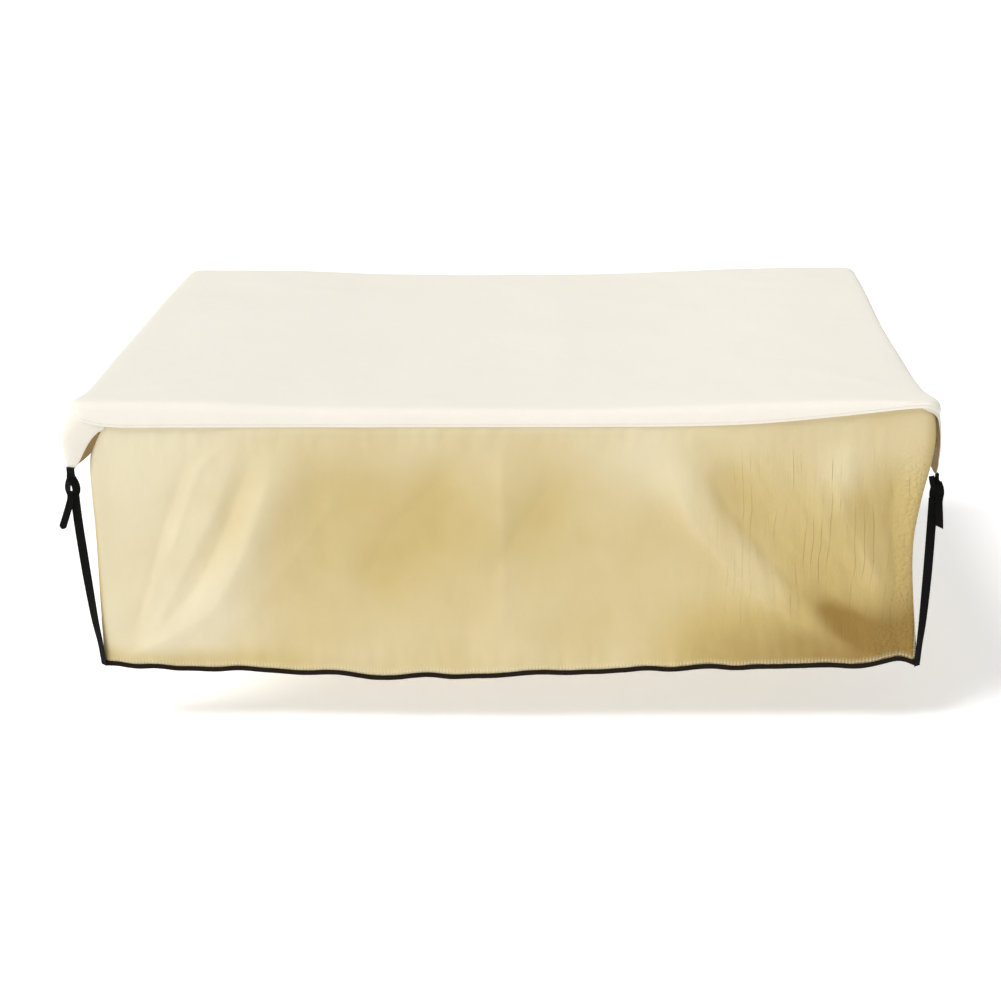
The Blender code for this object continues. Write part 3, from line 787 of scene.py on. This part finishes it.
def evenOut(piece):
    # the middle of the top becomes one even grid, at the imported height
    onlySelect([piece])
    bpy.ops.object.mode_set(mode="EDIT")
    bpy.ops.mesh.select_mode(type="VERT")
    bpy.ops.mesh.select_all(action="DESELECT")
    bpy.ops.object.mode_set(mode="OBJECT")
    for vertex in piece.data.vertices:
        vertex.select = isInner(vertex.co)
    bpy.ops.object.mode_set(mode="EDIT")
    bpy.ops.mesh.delete(type="VERT")
    bpy.ops.object.mode_set(mode="OBJECT")
    ring = rimOf(piece, lambda place: isInner(place, topSheet["border"]) and place.z > 0)
    first = max(range(len(ring)), key=lambda n: -ring[n].x - ring[n].y)
    ring = ring[first:] + ring[:first]
    rows = topSheet["rows"]
    columns = len(ring) // 2 - rows
    bpy.context.view_layer.update()

    def place(column, row):
        # blended from the four sides of the ring, which runs from the front left corner
        u, v = column / columns, 1 - row / rows
        step = rows - row
        front, back = ring[column], ring[2 * columns + rows - column]
        left, right = ring[-step], ring[columns + step]
        corners = (ring[0] * (1 - u) + ring[columns] * u) * (1 - v)
        corners += (ring[-rows] * (1 - u) + ring[columns + rows] * u) * v
        spot = front * (1 - v) + back * v + left * (1 - u) + right * u - corners
        if 0 < column < columns and 0 < row < rows:
            _, hit, _, _ = frame["nodes"]["top_panel"].ray_cast(Vector((spot.x, spot.y, 1)), -up)
            spot.z = hit.z
        return spot

    middle = layStrip("top_middle", rows, columns, place, creamCloth, (1, 1), 0.0)
    middle.data.materials.clear()
    joinAs(piece.name, [piece, middle])
    bpy.ops.object.mode_set(mode="EDIT")
    bpy.ops.mesh.select_all(action="SELECT")
    bpy.ops.mesh.remove_doubles(threshold=meshing["gridWeld"])
    bpy.ops.mesh.normals_make_consistent(inside=False)
    bpy.ops.object.mode_set(mode="OBJECT")
    if sum(face.normal.z for face in piece.data.polygons) < 0:
        piece.data.flip_normals()


def makeTop():
    piece = outerSkin("top_panel", "top_cloth", up, evenOut)

    def relief(place):
        flat = smooth(*topSheet["flatFrom"], place.z)
        wave, wavePace = topSheet["wave"]
        ripple, ripplePace = topSheet["ripple"]
        pucker, pace, upPace = topSheet["pucker"]
        rise = wave * noise.noise(place * wavePace) * flat
        rise += ripple * noise.noise(place * ripplePace)
        rise += creaseAt(topSheet["creases"], place.x, place.y) * flat
        gather = noise.noise(Vector((place.x * pace, place.y * pace, place.z * upPace)))
        return rise + pucker * gather * smooth(*topSheet["puckerFrom"], place.z)

    moveBy(piece, relief)
    rim = rimOf(piece, lambda place: place.z < topSheet["rimBelow"])
    piece.vertex_groups.new(name="inside")
    thickness = topSheet["thickness"]
    addModifier(piece, "SOLIDIFY", thickness=thickness, offset=-1.0, shell_vertex_group="inside")
    addModifier(piece, "DECIMATE", ratio=topSheet["insideShare"], vertex_group="inside")
    piece.data.materials.append(creamCloth)
    finishSurface(piece, topUv)
    dress(piece, "cream_cloth", "top_panel")
    seam = sewAlong("top_seam_thread", piece, rim + rim[:1], topSheet["seamRise"], creamThread, thread)
    dress(seam, "cream_cloth")
    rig.sheet(piece, flat=topSheet["flat"], held="stretched", with_pieces=[seam])
    return piece


topCloth = makeTop()
print("top made")


# The short side flaps

flapSheet = {
    "thickness": 0.0018,
    "flat": (1.48, 0.14),
    "area": 0.150,
    "wallX": 0.93,
    "rimBelow": -0.045,
    "hangFrom": (-0.04, -0.09),
    "ripple": (0.0016, 16),  # height, and how close together
    "fine": (0.0006, 45),
    "hemLine": 0.0055,
    "lapY": -0.650,
    "lapX": (0.922, 0.893),
    "lapRise": 0.0075,
    "turnPast": 0.58,
    "turnZ": (-0.124, -0.050),
    "turnWidth": 0.017,
    "turnOpens": 0.026,
    "turnSlope": (0.5, 0.15),  # back and up, for each step inward
    "turnThickness": 0.0012,
    "turnStart": (0.0008, 0.0009),  # outward and back from the edge, inside the cloth
}


def flapUv(place):
    return place.y - outward(place.y) * (abs(place.x) - flapSheet["wallX"]), place.z


def turnUnder(name, side, facing, rim):
    # the hem allowance, brown with painted shade, that shows where the flap stands off the end of a skirt
    low, high = flapSheet["turnZ"]
    past = flapSheet["turnPast"]
    edge = [place for place in rim if place.y * facing > past and low < place.z < high]
    edge.sort(key=lambda place: place.z)
    columns = 4

    def place(column, row):
        spot = edge[row]
        wide = flapSheet["turnWidth"] * smooth(low, low + flapSheet["turnOpens"], spot.z)
        back, rise = flapSheet["turnSlope"]
        outset, inset = flapSheet["turnStart"]
        inward = Vector((-side, -facing * back, rise)) * wide
        return spot + inward * (column / columns) + Vector((side * outset, -facing * inset, 0))

    end = "_front_turn" if facing < 0 else "_back_turn"
    size = (flapSheet["turnWidth"], high - low)
    thickness = flapSheet["turnThickness"]
    piece = layStrip(name + end, len(edge) - 1, columns, place, brownInside, size, thickness)
    dress(piece, "cream_cloth")
    return piece


def makeFlap(side, node):
    piece = outerSkin(node, node.replace("flap", "side_cloth"), Vector((side, 0, 0)), levels=4)

    def relief(place):
        ripple, ripplePace = flapSheet["ripple"]
        fine, finePace = flapSheet["fine"]
        rise = ripple * noise.noise(place * ripplePace) * smooth(*flapSheet["hangFrom"], place.z)
        return rise + fine * noise.noise(place * finePace)

    moveBy(piece, relief)
    for vertex in piece.data.vertices:  # the end that laps the right of the front stays under the top
        if side > 0 and vertex.co.y < flapSheet["lapY"]:
            vertex.co.z += flapSheet["lapRise"] * smooth(*flapSheet["lapX"], vertex.co.x)
    rim = rimOf(piece, lambda place: place.z < flapSheet["rimBelow"])
    # outside, the top's cream dimmed with painted shade; inside, painted shade
    piece.data.materials.append(sideCloth)
    piece.data.materials.append(brownInside if side < 0 else paleInside)
    addModifier(piece, "SOLIDIFY", thickness=flapSheet["thickness"], offset=-1.0, material_offset=1)
    finishSurface(piece, flapUv)
    dress(piece, "cream_cloth", node)
    if side < 0:  # the angles jump at the left, so its edge is put in order from the front
        rim.sort(key=lambda place: math.atan2(place.y, -place.x))
    hem = sewAlong(piece.name + "_thread", piece, rim, flapSheet["hemLine"], creamThread, thread)
    dress(hem, "cream_cloth")
    turned = [turnUnder(piece.name, side, facing, rim) for facing in (-1, 1) if side < 0 or facing > 0]
    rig.sheet(piece, flat=flapSheet["flat"], area=flapSheet["area"], held="hung",
             rests_on=[topCloth], with_pieces=[hem] + turned)


makeFlap(-1, "left_flap")
makeFlap(1, "right_flap")
print("flaps made")


# The skirts and their bound hems

skirtCloth = {  # for both skirts; spans are x from the middle, or z
    "thickness": 0.0018,
    "hemLine": 0.0145,
    "hemReach": 0.006,
    "hemFrom": -0.5,
    "seamSpan": (-0.036, -0.075),
    "hemSpan": (-0.602, -0.565),
    "endSpan": (0.915, 0.86),
    "wave": (0.0030, 5.5, 4.5),  # height, and how close together across and down
    "ripple": (0.0012, 19, 14),
    "wrinklePace": (38, 9, 3.4),
    "wrinkleX": (0.30, 0.62),
    "wrinkleZ": (-0.06, -0.16),
    "wrinkleLeast": 0.08,
    "pucker": (0.0016, 46, 4),
    "puckerSpans": (((-0.11, -0.060), (-0.030, -0.046)), ((-0.53, -0.575), (-0.612, -0.59))),
    # the level of painted light and shade where the cloth stands at the wall
    "paleness": 0.595,
    "standOut": 0.680,  # where the wall of the skirt stands
    "foldPaleness": 7.5,  # painted light on crests and shade in hollows, for each metre that the cloth stands out from there
    "fades": (  # painted light and shade over parts of the skirt: how much, then the spans of x and z over which it comes
        (0.22, (-0.40, -0.80), None),
        (0.12, None, (-0.22, -0.04)),
        (0.08, (0.50, 0.10), (-0.058, -0.040)),
        (0.12, (-0.50, -0.86), (-0.46, -0.12)),
        (-0.28, (-0.888, -0.906), (-0.10, -0.30)),
        (-0.27, (-0.30, -0.80), (-0.535, -0.590)),
        (-0.10, (0.910, 0.935), None),
        (-0.26, (0.24, 0.50), (-0.38, -0.56)),
        (-0.22, (0.30, 0.85), (-0.02, -0.30)),
        (-0.12, (0.55, 0.90), (-0.34, -0.52)),
    ),
    "creasedX": (0.36, 0.66),
    "creasedZ": ((-0.05, -0.14), (-0.60, -0.40)),
    "creasedLeast": 0.02,
    "crinkledX": (0.835, 0.90),
    "crinkledZ": (-0.06, -0.14),
    "crinkledCorner": (0.90, -0.60),
    "cornerReach": (0.16, 0.05),
}
frontSkirt = {
    "node": "front_skirt",
    "facing": -1,
    "flat": (1.87, 0.62),
    "wrinkle": 0.0024,
    "patches": (  # spots of painted light and shade: how much, middle, height, reach across and down
        (-0.22, 0.725, -0.462, 0.032, 0.025),
        (-0.31, 0.768, -0.496, 0.040, 0.028),
        (-0.20, 0.822, -0.528, 0.046, 0.028),
        (0.14, 0.32, -0.10, 0.10, 0.12),
        (0.14, 0.87, -0.26, 0.06, 0.14),
        (0.12, 0.74, -0.14, 0.08, 0.07),
        (0.08, 0.60, -0.32, 0.07, 0.10),
        (-0.10, -0.10, -0.30, 0.16, 0.14),
        (0.10, -0.66, -0.46, 0.10, 0.07),
    ),
    "creases": (  # height, width, then x and z down the skirt
        (0.0048, 0.020, ((-0.485, -0.09), (-0.535, -0.23), (-0.58, -0.345), (-0.64, -0.45),
                         (-0.79, -0.572))),
        (0.0036, 0.016, ((-0.575, -0.08), (-0.622, -0.21), (-0.675, -0.31), (-0.745, -0.44),
                         (-0.80, -0.53))),
        (-0.0040, 0.017, ((-0.535, -0.08), (-0.588, -0.206), (-0.632, -0.31), (-0.69, -0.415),
                          (-0.80, -0.54))),
        (0.0034, 0.012, ((-0.60, -0.07), (-0.664, -0.136), (-0.712, -0.26), (-0.75, -0.36))),
        (-0.0026, 0.012, ((-0.68, -0.10), (-0.74, -0.24), (-0.79, -0.40), (-0.84, -0.54))),
        (0.0034, 0.020, ((0.0, -0.045), (0.003, -0.28), (0.002, -0.55))),
        (-0.0026, 0.022, ((-0.07, -0.10), (-0.227, -0.252), (-0.33, -0.42))),
        (-0.0026, 0.020, ((0.13, -0.14), (0.035, -0.276), (-0.04, -0.41))),
        (0.0020, 0.020, ((-0.30, -0.08), (-0.40, -0.26), (-0.56, -0.46), (-0.72, -0.58))),
        (0.0056, 0.015, ((0.345, -0.06), (0.417, -0.252), (0.549, -0.415), (0.665, -0.49), (0.84, -0.57))),
        (-0.0060, 0.014, ((0.42, -0.10), (0.494, -0.217), (0.625, -0.38), (0.712, -0.455), (0.86, -0.54))),
        (0.0044, 0.013, ((0.515, -0.06), (0.57, -0.18), (0.625, -0.299), (0.756, -0.438), (0.86, -0.51))),
        (-0.0040, 0.012, ((0.60, -0.09), (0.66, -0.22), (0.74, -0.35), (0.84, -0.46))),
        (0.0036, 0.012, ((0.70, -0.10), (0.745, -0.22), (0.80, -0.34), (0.86, -0.44))),
        (0.0040, 0.022, ((0.745, -0.07), (0.748, -0.15), (0.735, -0.26))),
        (-0.0050, 0.014, ((0.86, -0.12), (0.85, -0.24), (0.868, -0.36), (0.88, -0.50))),
        (0.0030, 0.012, ((0.62, -0.42), (0.74, -0.52), (0.86, -0.578))),
        (0.0030, 0.010, ((-0.70, -0.50), (-0.80, -0.555), (-0.88, -0.585))),
    ),
}
backSkirt = {
    "node": "back_skirt",
    "facing": 1,
    "flat": (1.86, 0.62),
    "wrinkle": 0.0016,
    # spots of painted light and shade, as on the front
    "patches": (
        (-0.24, 0.78, -0.49, 0.090, 0.060),
        (0.12, 0.30, -0.12, 0.12, 0.14),
        (0.12, -0.64, -0.44, 0.12, 0.09),
    ),
    "creases": (
        (0.0050, 0.015, ((-0.42, -0.07), (-0.52, -0.26), (-0.66, -0.45), (-0.82, -0.575))),
        (-0.0044, 0.014, ((-0.52, -0.08), (-0.60, -0.26), (-0.71, -0.43), (-0.84, -0.56))),
        (0.0036, 0.012, ((-0.60, -0.07), (-0.69, -0.24), (-0.79, -0.42))),
        (0.0036, 0.020, ((0.05, -0.06), (0.03, -0.30), (0.02, -0.56))),
        (-0.0028, 0.020, ((0.16, -0.10), (0.12, -0.28), (0.04, -0.46))),
        (-0.0028, 0.020, ((-0.12, -0.10), (-0.16, -0.28), (-0.24, -0.46))),
        (0.0050, 0.015, ((0.38, -0.06), (0.47, -0.26), (0.62, -0.45), (0.80, -0.575))),
        (-0.0044, 0.014, ((0.50, -0.08), (0.58, -0.26), (0.69, -0.43), (0.84, -0.56))),
        (0.0034, 0.012, ((0.62, -0.07), (0.70, -0.24), (0.78, -0.42))),
    ),
}
hemWave = {
    "height": 0.0018,
    "pace": 17.0,
    "rise": 0.0050,
    "risePace": 15.0,
    "zSpan": (-0.45, -0.58),
    "xSpan": (0.91, 0.86),
}


def hemDrift(facing, place):
    # the last of the cloth and its tape wave together
    low = smooth(*hemWave["zSpan"], place.z) * smooth(*hemWave["xSpan"], abs(place.x))
    out = noise.noise(Vector((place.x * hemWave["pace"], facing * 3.0, 0.5)))
    rise = noise.noise(Vector((place.x * hemWave["risePace"], facing * 6.0, 2.5)))
    return Vector((0, facing * hemWave["height"] * out * low, hemWave["rise"] * rise * low))


def makeSkirt(plan):
    facing = plan["facing"]
    piece = outerSkin(plan["node"], plan["node"] + "_cloth", Vector((0, facing, 0)))
    hemRow = rimOf(piece, lambda place: place.z < skirtCloth["hemFrom"])
    hemRow.sort(key=lambda place: place.x)
    hemX = [place.x for place in hemRow]

    def toRight(place):  # as seen from the skirt's own side
        return -facing * place.x

    def relief(place):
        x, z = place.x, place.z
        seamFade = smooth(*skirtCloth["seamSpan"], z)
        hemFade = smooth(*skirtCloth["hemSpan"], z)
        endFade = smooth(*skirtCloth["endSpan"], abs(x))
        wave, pace, downPace = skirtCloth["wave"]
        rise = wave * noise.noise(Vector((x * pace, facing * 2.0, z * downPace)))
        ripple, pace, downPace = skirtCloth["ripple"]
        rise += ripple * noise.noise(Vector((x * pace, facing * 5.0, z * downPace)))
        rise += creaseAt(plan["creases"], x, z)
        pace, slant, downPace = skirtCloth["wrinklePace"]
        fine = noise.noise(Vector((x * pace + z * slant, facing * 7.0, z * downPace)))
        right = smooth(*skirtCloth["wrinkleX"], toRight(place))
        most = blend(skirtCloth["wrinkleLeast"], 1.0, right) * smooth(*skirtCloth["wrinkleZ"], z)
        rise = (rise + plan["wrinkle"] * fine * most) * seamFade * hemFade * endFade
        pucker, pace, downPace = skirtCloth["pucker"]
        gather = noise.noise(Vector((x * pace, facing * 9.0, z * downPace)))
        for start, end in skirtCloth["puckerSpans"]:
            rise += pucker * gather * smooth(*start, z) * smooth(*end, z) * endFade
        return rise

    # painted light and shade: paler where the cloth stands out and towards the lit left, darker in the folds and
    # towards the right
    def faded(place):
        across = toRight(place)
        value = skirtCloth["paleness"]
        value += skirtCloth["foldPaleness"] * (facing * place.y - skirtCloth["standOut"])
        for amount, xSpan, zSpan in skirtCloth["fades"]:
            value += amount * overSpan(xSpan, across) * overSpan(zSpan, place.z)
        for amount, middle, level, wide, tall in plan["patches"]:
            spot = math.hypot((across - middle) / wide, (place.z - level) / tall)
            value += amount * math.exp(-spot * spot)
        return value

    def creased(place):
        upper, lower = skirtCloth["creasedZ"]
        share = smooth(*skirtCloth["creasedX"], toRight(place)) * smooth(*upper, place.z)
        return blend(skirtCloth["creasedLeast"], 1.0, share * smooth(*lower, place.z))

    def crinkled(place):
        edge = smooth(*skirtCloth["crinkledX"], toRight(place)) * smooth(*skirtCloth["crinkledZ"], place.z)
        x, z = skirtCloth["crinkledCorner"]
        corner = smooth(*skirtCloth["cornerReach"], math.hypot(toRight(place) - x, place.z - z))
        return min(edge + corner, 1.0)

    def seamed(place):
        hem = hemRow[min(bisect(hemX, place.x), len(hemRow) - 1)]
        off = (place.z - hem.z - skirtCloth["hemLine"]) / skirtCloth["hemReach"]
        return math.exp(-off * off)

    moveBy(piece, relief)
    for name, value in (("seamed", seamed), ("faded", faded), ("creased", creased), ("crinkled", crinkled)):
        note(piece, name, value)
    for vertex in piece.data.vertices:
        vertex.co += hemDrift(facing, vertex.co)
    addModifier(piece, "SOLIDIFY", thickness=skirtCloth["thickness"], offset=-1.0)
    piece.data.materials.append(tanCloth)
    finishSurface(piece, lambda place: (place.x, place.z))
    dress(piece, "tan_cloth", plan["node"])
    drifted = [place + hemDrift(facing, place) for place in hemRow]
    hem = sewAlong(plan["node"] + "_hem_thread", piece, drifted, skirtCloth["hemLine"], tanThread, thread)
    dress(hem, "tan_cloth")
    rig.sheet(piece, flat=plan["flat"], held="hung", rests_on=[topCloth], with_pieces=[hem])


binding = {
    "edge": 0.0005,
    "slack": (0.00035, 60, 90),  # height, and how close together across and down
}


def makeBinding(node, facing):
    piece = softSolid(node, node + "_tape", tapeCloth, binding["edge"], 2)
    slack, pace, downPace = binding["slack"]

    def relief(place):
        return slack * noise.noise(Vector((place.x * pace, facing * 4.0, place.z * downPace)))

    moveBy(piece, relief)
    for vertex in piece.data.vertices:
        vertex.co += hemDrift(facing, vertex.co)
    finishSurface(piece, lambda place: (place.x, place.z))
    dress(piece, "binding_tape", node)


makeSkirt(frontSkirt)
makeSkirt(backSkirt)
makeBinding("front_hem_binding", -1)
makeBinding("back_hem_binding", 1)
print("skirts and hems made")


# The webbing ties

webbing = {
    "width": 0.020,
    "thick": 0.0015,
    "crown": 0.35,  # of the thickness, that the edges fall away
    "edge": 0.0004,
    "box": ((0.2, 0.62), (0.8, 0.62), (0.8, 0.92), (0.2, 0.92), (0.2, 0.62)),  # shares of the tab
    "boxNeeds": 0.012,  # the least width of tab that shows it
    "cells": 8,
    "legWidth": 0.0192,
    "legEnds": (0.0010, 0.0012),  # outward, at the top and the bottom of the eye
    "legLaps": (0.003, 0.002),  # past the top and the bottom
    "legBows": ((0.28, 0.85), (0.62, 1.0)),  # how far down, and how much of its way out
    "legFlat": (0.86, 0.5),
    "open": {"turn": 40, "out": 0.0090, "shift": 0.0},  # turn: degrees away from the front
    "closed": {"turn": 18, "out": 0.0068, "shift": 0.0022},
    "nub": ((0.0, 0.003, -0.016), (-0.0085, 0.004, 0.0), (-0.0130, 0.003, 0.020)),
    "nubWidth": 0.012,
    "tailWidth": 0.016,
    "tailLead": (0.001, 0.016),  # outward and up from where it leaves the eye
    "closedTail": 0.0038,  # outward
    "roundEnd": 0.006,
    "slant": 0.004,
    "strapLead": 0.012,
    "strapShares": (0.12, 0.3, 0.5, 0.7, 0.86),
    "strapReach": (0.006, 0.016, 0.003),  # up and down from a level: at the foot, between, at the head
    "strapTurn": (0.3, 1.0),
}


def smoothLine(points, ways, cells):
    # a rounded line through the points: place, direction, and the way the width lies
    heads = [points[1] - points[0]]
    heads += [after - before for before, after in zip(points, points[2:])]
    heads.append(points[-1] - points[-2])
    heads = [head.normalized() for head in heads]
    line = []
    for n in range(len(points) - 1):
        start, end = points[n], points[n + 1]
        reach = (end - start).length / 3
        leave, arrive = start + heads[n] * reach, end - heads[n + 1] * reach
        for step in range(cells + (n == len(points) - 2)):
            t = step / cells
            rest = 1 - t
            spot = start * rest**3 + leave * 3 * t * rest**2 + arrive * 3 * t * t * rest + end * t**3
            line.append((spot, heads[n].lerp(heads[n + 1], t).normalized(), ways[n].lerp(ways[n + 1], t)))
    return line


def layWebbing(name, points, ways, width, roundEnd=0.0, slant=0.0):
    # flat webbing on the line; its far end is rounded, or cut at a slant
    line = smoothLine(points, ways, webbing["cells"])
    columns = webbing["cells"]
    last = len(line) - 1
    length = sum((b[0] - a[0]).length for a, b in zip(line, line[1:]))

    def place(column, row):
        spot, head, way = line[row]
        wide = (way - head * way.dot(head)).normalized()
        face = wide.cross(head).normalized()
        share = column / columns * 2 - 1
        lowest = smooth(0.6, 1.0, row / last)
        drop = -roundEnd * share * share * lowest + slant * share * lowest
        crown = webbing["thick"] * webbing["crown"] * share**4
        return spot + wide * width / 2 * share + head * drop - face * crown

    size = (width, length)
    made = layStrip(name, last, columns, place, blackWebbing, size, webbing["thick"])
    return made, [spot for spot, _, _ in line], length


def nearLevel(node, level, reach):
    near = [v.co for v in frame["nodes"][node].data.vertices if abs(v.co.z - level) < reach]
    return sum(near, Vector()) / len(near)


def makeTie(corner, side, facing):
    forward = Vector((0, facing, 0))
    away = Vector((side, 0, 0))
    knotLow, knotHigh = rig.box(corner + "_knot")
    strapLow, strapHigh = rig.box(corner + "_strap")
    tailLow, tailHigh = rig.box(corner + "_tail")
    knot = (knotLow + knotHigh) / 2
    top = Vector((knot.x, knot.y, knotHigh.z))
    bottom = Vector((knot.x, knot.y, knotLow.z))

    # the tab, folded double, with a stitched box
    tab = softSolid(corner + "_tab", corner + "_tab_webbing", blackWebbing, webbing["edge"], 2)
    finishSurface(tab, lambda place: (place.x, place.z))
    dress(tab, "webbing", corner + "_tab")
    tabLow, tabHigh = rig.box(corner + "_tab")
    bpy.context.view_layer.update()
    box = []
    for across, high in webbing["box"]:
        x, z = blend(tabLow.x, tabHigh.x, across), blend(tabLow.z, tabHigh.z, high)
        found, hit, _, _ = tab.ray_cast(Vector((x, knot.y + facing * 0.2, z)), -forward)
        if found:
            box.append(hit)
    if tabHigh.x - tabLow.x > webbing["boxNeeds"] and len(box) == len(webbing["box"]):
        stitches = sewAlong(corner + "_tab_thread", tab, box, 0.0, blackThread, fineThread)
        dress(stitches, "webbing")

    # the eye under it: two legs of webbing that bow apart and meet again
    closed = corner == "front_right"  # this one is pulled flat, and its spare fold stands up
    form = webbing["closed" if closed else "open"]
    turn = math.radians(form["turn"])
    topEnd, bottomEnd = webbing["legEnds"]
    above, below = webbing["legLaps"]
    ahead, aside = webbing["legFlat"]
    legs = []
    for way in (-1, 1):
        apart = away * way * form["out"]
        turned = Vector((math.cos(turn), way * side * math.sin(turn), 0))
        flat = Vector((ahead, way * side * aside, 0))
        points = [top + up * above + away * way * topEnd]
        points += [top.lerp(bottom, down) + apart * share for down, share in webbing["legBows"]]
        points.append(bottom + away * way * bottomEnd - up * below)
        points = [point + away * form["shift"] for point in points]
        leg, _, _ = layWebbing(corner + "_leg", points, [flat, turned, turned, flat], webbing["legWidth"])
        legs.append(leg)
    if closed:
        points = [top + away * out + forward * near + up * rise for out, near, rise in webbing["nub"]]
        nub, _, _ = layWebbing(corner + "_nub", points, [sideways] * 3, webbing["nubWidth"])
        legs.append(nub)
    eye = joinAs(corner + "_knot_webbing", legs)
    dress(eye, "webbing", corner + "_knot")

    # the free tail
    end = nearLevel(corner + "_tail", tailLow.z, 0.006)
    middle = nearLevel(corner + "_tail", blend(tailHigh.z, tailLow.z, 0.5), 0.012)
    start = nearLevel(corner + "_tail", tailHigh.z, 0.004)
    out, rise = webbing["tailLead"]
    route = [start + up * rise + away * out, start, middle, end]
    cut = {"slant": webbing["slant"] * side} if closed else {"roundEnd": webbing["roundEnd"]}
    if closed:
        route = [place + away * webbing["closedTail"] for place in route]
    tail, _, _ = layWebbing(corner + "_tail_webbing", route, [sideways] * 4, webbing["tailWidth"], **cut)
    dress(tail, "webbing", corner + "_tail")

    # the strap, down to the bound corner of the hem
    footReach, reach, headReach = webbing["strapReach"]
    foot = nearLevel(corner + "_strap", strapLow.z, footReach)
    head = nearLevel(corner + "_strap", strapHigh.z, headReach)
    shares = webbing["strapShares"]
    levels = [blend(head.z, foot.z, share) for share in shares]
    route = [head + up * webbing["strapLead"], head]
    route += [nearLevel(corner + "_strap", level, reach) for level in levels] + [foot]
    diagonal = Vector((1, -side * facing, 0)).normalized()
    turns = [sideways.lerp(diagonal, smooth(*webbing["strapTurn"], share)) for share in shares]
    ways = [sideways, sideways] + turns + [diagonal]
    strap, line, length = layWebbing(corner + "_strap_webbing", route, ways, webbing["width"])
    dress(strap, "webbing", corner + "_strap")
    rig.cord(strap, exit=line[0], length=length, diameter=webbing["width"], far_end="object",
            stiffness="limp", lay="taut", path=line, with_pieces=[tab, eye, tail])
    print(corner, "strap", round(length, 3))


makeTie("front_left", -1, -1)
makeTie("front_right", 1, -1)
makeTie("back_left", -1, 1)
makeTie("back_right", 1, 1)
print("ties made")

visualLow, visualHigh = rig.bounds()
with open("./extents.json", "w") as sizes:
    json.dump({"cad": [list(cadLow), list(cadHigh)], "visual": [list(visualLow), list(visualHigh)]}, sizes)
print("sizes written")
